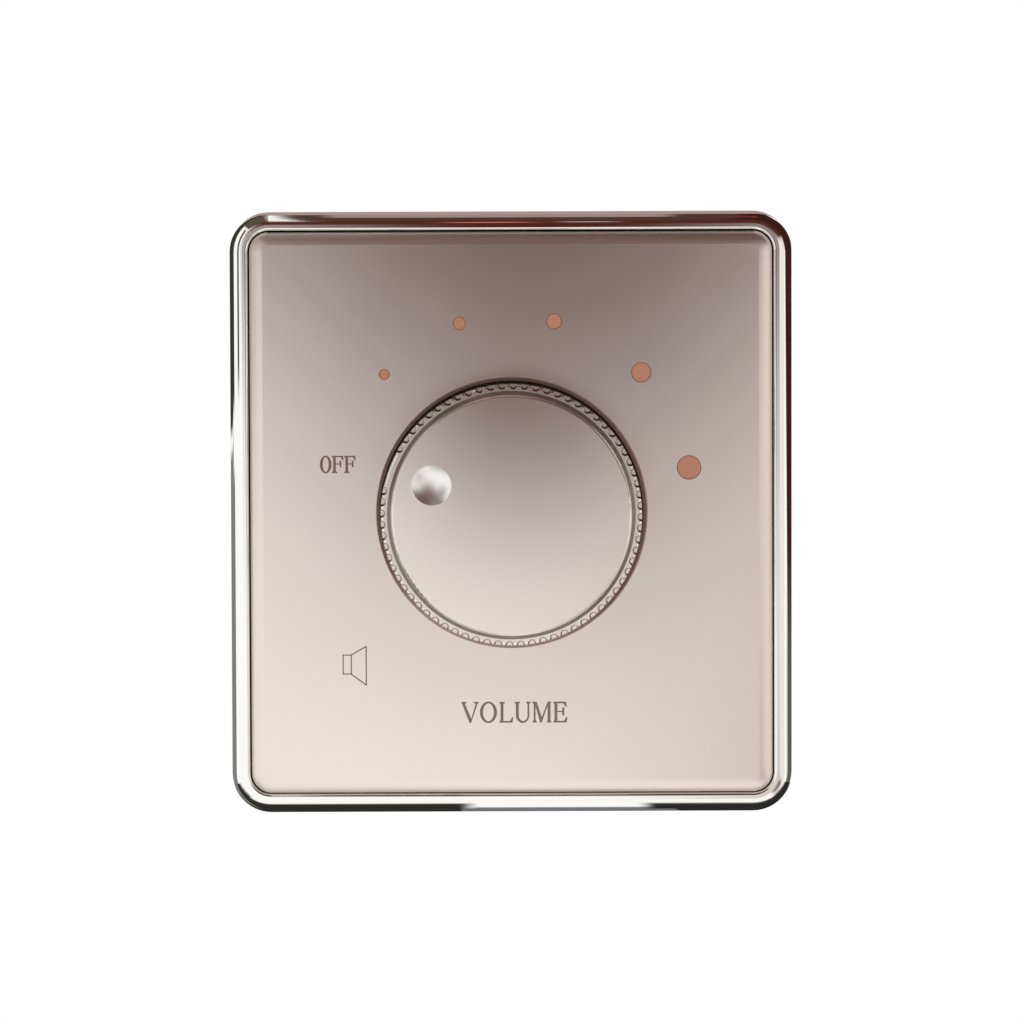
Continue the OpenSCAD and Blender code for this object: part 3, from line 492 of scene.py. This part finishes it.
def letterV(w, p):
    low = 0.47 * w
    thin = p["hair"] * 1.15
    left = p["serif"] * 0.6
    inner = left + p["stem"]
    right = w - p["serif"]
    tip = 1 - serifEdge
    return [[
        (low, -overshoot), (low + 0.07, -overshoot), (right, 0.9), (w, tip), (w, 1), (w - 0.26, 1),
        (w - 0.26, tip), (right - thin, 0.9), (low + 0.08, 0.19), (inner, 0.9), (inner + 0.07, tip),
        (inner + 0.07, 1), (0, 1), (0, tip), (left, 0.9),
    ]]


def letterU(w, p):
    x0, x1 = firstStem(p)
    x3 = w - p["serif"]
    x2 = x3 - p["hair"] * 1.1
    deep = 0.36
    outer = arc((x0 + x3) / 2, deep, (x3 - x0) / 2, deep + overshoot, 180, 360)
    inner = arc((x1 + x2) / 2, deep, (x2 - x1) / 2, deep - p["hair"], 360, 180)
    return [outer + head(x2, x3, p["serif"]) + inner + head(x0, x1, p["serif"])]


def letterM(w, p):
    left = p["serif"]
    inner = left + p["hair"] * 1.15
    right = w - p["serif"] * 0.6 - p["stem"]
    outer = right + p["stem"]
    low = (left + right) / 2
    return [
        foot(left, inner, p["serif"])
        + [(inner, 0.76), (low - 0.02, -0.01), (low + 0.05, -0.01), (right, 0.8)]
        + foot(right, outer, p["serif"] * 0.7)
        + [(outer, 0.9), (w, 1 - serifEdge), (w, 1), (right, 1), (low + 0.06, 0.27), (left + p["stem"], 1)]
        + head(left, inner, p["serif"])[3:]
    ]


letters = {"O": letterO, "F": letterF, "E": letterE, "L": letterL, "V": letterV, "U": letterU, "M": letterM}

words = {
    "off_mark": {
        "centre": (-26.42, 7.41), "height": 2.64, "ink": (118, 88, 72),
        "cells": [("O", 0, 0.67), ("F", 0.68, 0.69), ("F", 1.39, 0.69)],  # letter, left edge, width
        "pen": {"stem": 0.152, "hair": 0.08, "serif": 0.085},
    },
    "volume_word": {
        "centre": (0.36, -30.55), "height": 3.2, "ink": (122, 106, 94),
        "cells": [
            ("V", 0, 0.83), ("O", 0.885, 0.815), ("L", 1.81, 0.675),
            ("U", 2.54, 0.765), ("M", 3.39, 0.9), ("E", 4.385, 0.68),
        ],
        "pen": {"stem": 0.14, "hair": 0.08, "serif": 0.06},
    },
}


def printWord(name, w):
    cx, cy = w["centre"]
    tall = w["height"]
    full = sum(w["cells"][-1][1:])
    outlines = []
    for letter, left, width in w["cells"]:
        for points in letters[letter](width, w["pen"]):
            outlines.append([(cx + (left + x - full / 2) * tall, cy + (y - 0.5) * tall) for x, y in points])
    inkPiece(name, outlines, inkFinish(name + "_ink", w["ink"]))


for name, w in words.items():
    printWord(name, w)
print("words printed")


speaker = {
    "box": (-25.85, -24.69, -24.45, -21.64),  # left, foot, right, top
    "mouth": (-22.17, -26.46, -20.27),  # right, foot, top
    "line": 0.16,
    "hornLift": 0.005,  # keeps the horn's ink off the box's where they cross
    "ink": (90, 74, 66),
}


# outline pulled in by the line's width
def inset(points, by):
    n = len(points)
    inner = []
    for i in range(n):
        a, b, c = (Vector(points[(i + k) % n]) for k in (-1, 0, 1))
        d1 = (b - a).normalized()
        d2 = (c - b).normalized()
        n1 = Vector((-d1.y, d1.x))
        n2 = Vector((-d2.y, d2.x))
        m = (n1 + n2).normalized()
        inner.append(tuple(b + m * (by / m.dot(n1))))
    return inner


def speakerMark(s):
    x0, y0, x1, y1 = s["box"]
    mx, my0, my1 = s["mouth"]
    box = [(x0, y0), (x1, y0), (x1, y1), (x0, y1)]
    horn = [(x1 - s["line"], y0), (mx, my0), (mx, my1), (x1 - s["line"], y1)]
    ink = inkFinish("speaker_ink", s["ink"])
    inkPiece("speaker_box", [box, inset(box, s["line"])], ink)
    inkPiece("speaker_horn", [horn, inset(horn, s["line"])], ink, s["hornLift"])


speakerMark(speaker)
print("speaker outline printed")


# stage: white surroundings, a pale floor, one soft lamp and the cards that the metal mirrors

stage = {
    "worldFill": 0.85,  # world's strength on matt surfaces
    "floor": {"drop": 190, "half": 3000, "shade": 0.9, "rough": 0.9},  # mm below the axis
    "lamp": {"at": (-420, 520, 900), "size": 700, "watts": 2},
}

# middle and half sizes in bench mm, and the share of each half that is soft
# degrees: tilt about the level axis, turn about the upright one, spin in the card's own plane
plainCard = dict(tilt=0, turn=0, spin=0, soft=(0.02, 0.02))
cards = {
    "front_card": dict(at=(2, 53, 150), half=(84, 110), spin=-18, soft=(0.9, 0.9), rgb=(70, 29, 19)),
    "low_card": dict(at=(90, -70, 148), half=(85, 80), soft=(1, 1), rgb=(130, 104, 94)),
    "upper_card": dict(at=(48, 86, 149), half=(160, 74), soft=(0.4, 0.9), rgb=(84, 42, 32)),
    "ceiling_far_left": dict(
        at=(-98, 150.5, 115), half=(57, 165), tilt=90, soft=(0.3, 0.15), rgb=(88, 78, 66),
    ),
    "ceiling_left": dict(at=(0, 150, 125), half=(42, 175), tilt=90, soft=(0.1, 0.05), rgb=(80, 54, 47)),
    "ceiling_right": dict(at=(190, 151, 125), half=(160, 175), tilt=90, soft=(0.05, 0.05), rgb=(56, 30, 26)),
    "cornice_card": dict(at=(-2, 149, -18), half=(32, 83), tilt=90, soft=(0.15, 0.08), rgb=(158, 136, 134)),
    "ember_card": dict(at=(50, 149, 70), half=(16, 9), tilt=90, soft=(0.9, 0.9), rgb=(230, 84, 50)),
    "lamp_red": dict(at=(-4, 88, 147), half=(11, 9), spin=-12, soft=(0.7, 0.7), rgb=(214, 122, 114)),
    "lamp_blue": dict(at=(14, 92, 147), half=(7, 9), spin=-12, soft=(0.7, 0.7), rgb=(186, 192, 204)),
    "table_left_high": dict(at=(-200, 160, -2), half=(152, 150), rgb=(52, 54, 44)),
    "table_left_low": dict(at=(-200, -150, -2), half=(152, 160), rgb=(128, 127, 125)),
    "wall_left_high": dict(
        at=(-191, 110, -50), half=(95, 100), turn=-90, soft=(0.05, 0.05), rgb=(66, 66, 55),
    ),
    "wall_left_low": dict(
        at=(-191, -104, -50), half=(95, 107), turn=-90, soft=(0.05, 0.05), rgb=(128, 127, 125),
    ),
    "left_card": dict(at=(-190, 96, 225), half=(70, 86), turn=-90, soft=(0.3, 0.1), rgb=(88, 76, 64)),
    "table_top": dict(at=(0, 175, -2), half=(48, 126), rgb=(168, 148, 146)),
    "table_low": dict(at=(9, -119, -2), half=(17, 70), rgb=(112, 116, 122)),
    "floor_left": dict(at=(-78, -85, -30), half=(73, 140), tilt=90, soft=(0.05, 0.5), rgb=(46, 46, 41)),
    "floor_mid": dict(at=(9, -86, -60), half=(16, 84), tilt=90, soft=(0.1, 0.2), rgb=(116, 122, 130)),
    "floor_right": dict(at=(85, -85, -32), half=(65, 132), tilt=90, soft=(0.05, 0.5), rgb=(42, 42, 43)),
    "right_card": dict(
        at=(190, 178, 48), half=(150, 300), turn=90, spin=-45, soft=(0.08, 0.02), rgb=(60, 30, 27),
    ),
    "strip_low": dict(at=(0, -47, 19.6), half=(44, 8), tilt=90, soft=(0.05, 0.25), rgb=(255, 252, 248)),
    "strip_right": dict(at=(44.2, 0, 19), half=(8, 44), turn=90, soft=(0.25, 0.05), rgb=(238, 231, 226)),
    "side_card": dict(at=(189, -105, -30), half=(130, 95), turn=90, soft=(0.6, 0.3), rgb=(92, 89, 85)),
}


# one shader is what the camera and the mirrors see, the other what lights the matt surfaces
def lightPathMix(mat, seen, other):
    path = add(mat, "ShaderNodeLightPath")
    direct = path.outputs["Is Camera Ray"]
    for ray in ("Is Glossy Ray", "Is Transmission Ray"):
        direct = maths(mat, "MAXIMUM", direct, path.outputs[ray])
    return mixShaders(mat, direct, other, seen)


def setWorld(fill):
    world = bpy.data.worlds.new("white_room")
    bpy.context.scene.world = world
    world.use_nodes = True
    world.node_tree.nodes.clear()
    seen = add(world, "ShaderNodeBackground", Color=white, Strength=1)
    lit = add(world, "ShaderNodeBackground", Color=white, Strength=fill)
    out = add(world, "ShaderNodeOutputWorld")
    wire(world, lightPathMix(world, seen.outputs[0], lit.outputs[0]), out.inputs["Surface"])


def sheetOf(name, at, half, tilt=0, turn=0, spin=0):
    mesh = bpy.data.meshes.new(name)
    bm = bmesh.new()
    corners = [(-1, -1), (1, -1), (1, 1), (-1, 1)]
    bm.faces.new([bm.verts.new((x * half[0] * mm, 0, z * half[1] * mm)) for x, z in corners])
    bm.to_mesh(mesh)
    bm.free()
    obj = link(name, mesh)
    obj.location = place(*at)
    obj.rotation_euler = (math.radians(tilt), math.radians(spin), math.radians(turn))
    return obj


def setFloor(f):
    floor = sheetOf("floor", (0, -f["drop"], 0), (f["half"], f["half"]), 90)
    mat = newMaterial("floor_paper")
    nodes = mat.node_tree.nodes
    paper = nodes["Principled BSDF"]
    paper.inputs["Base Color"].default_value = shade(white, f["shade"])
    paper.inputs["Roughness"].default_value = f["rough"]
    glow = add(mat, "ShaderNodeEmission", Color=white, Strength=1)
    look = lightPathMix(mat, glow.outputs[0], paper.outputs[0])
    wire(mat, look, nodes["Material Output"].inputs["Surface"])
    floor.data.materials.append(mat)


# how solid a card is: full in the middle, fading over the outer part of each half
def fade(mat, half, soft):
    axes = axesOf(mat)
    solid = []
    for axis, size, share in zip("XZ", half, soft):
        away = maths(mat, "ABSOLUTE", axes[axis])
        solid.append(ramp(mat, away, (size * mm, size * mm * (1 - share)), kind="SMOOTHSTEP"))
    return maths(mat, "MULTIPLY", *solid)


def setCard(name, c):
    card = sheetOf(name, c["at"], c["half"], c["tilt"], c["turn"], c["spin"])
    mat = newMaterial(name)
    glow = add(mat, "ShaderNodeEmission", Color=linear(c["rgb"]))
    clear = add(mat, "ShaderNodeBsdfTransparent")
    look = mixShaders(mat, fade(mat, c["half"], c["soft"]), clear.outputs[0], glow.outputs[0])
    wire(mat, look, mat.node_tree.nodes["Material Output"].inputs["Surface"])
    card.data.materials.append(mat)
    for ray in ("camera", "diffuse", "shadow", "transmission"):  # only the metal mirrors it
        setattr(card, "visible_" + ray, False)


def setLamp(lamp):
    data = bpy.data.lights.new("soft_box", "AREA")
    data.shape = "SQUARE"
    data.size = lamp["size"] * mm
    data.energy = lamp["watts"]
    obj = link("soft_box", data)
    obj.location = place(*lamp["at"])
    obj.rotation_euler = (-obj.location).to_track_quat("-Z", "Y").to_euler()
    obj.visible_glossy = False


setWorld(stage["worldFill"])
setFloor(stage["floor"])
for name, c in cards.items():
    setCard(name, {**plainCard, **c})
setLamp(stage["lamp"])
bpy.context.scene.view_settings.view_transform = "Standard"
print("stage set")
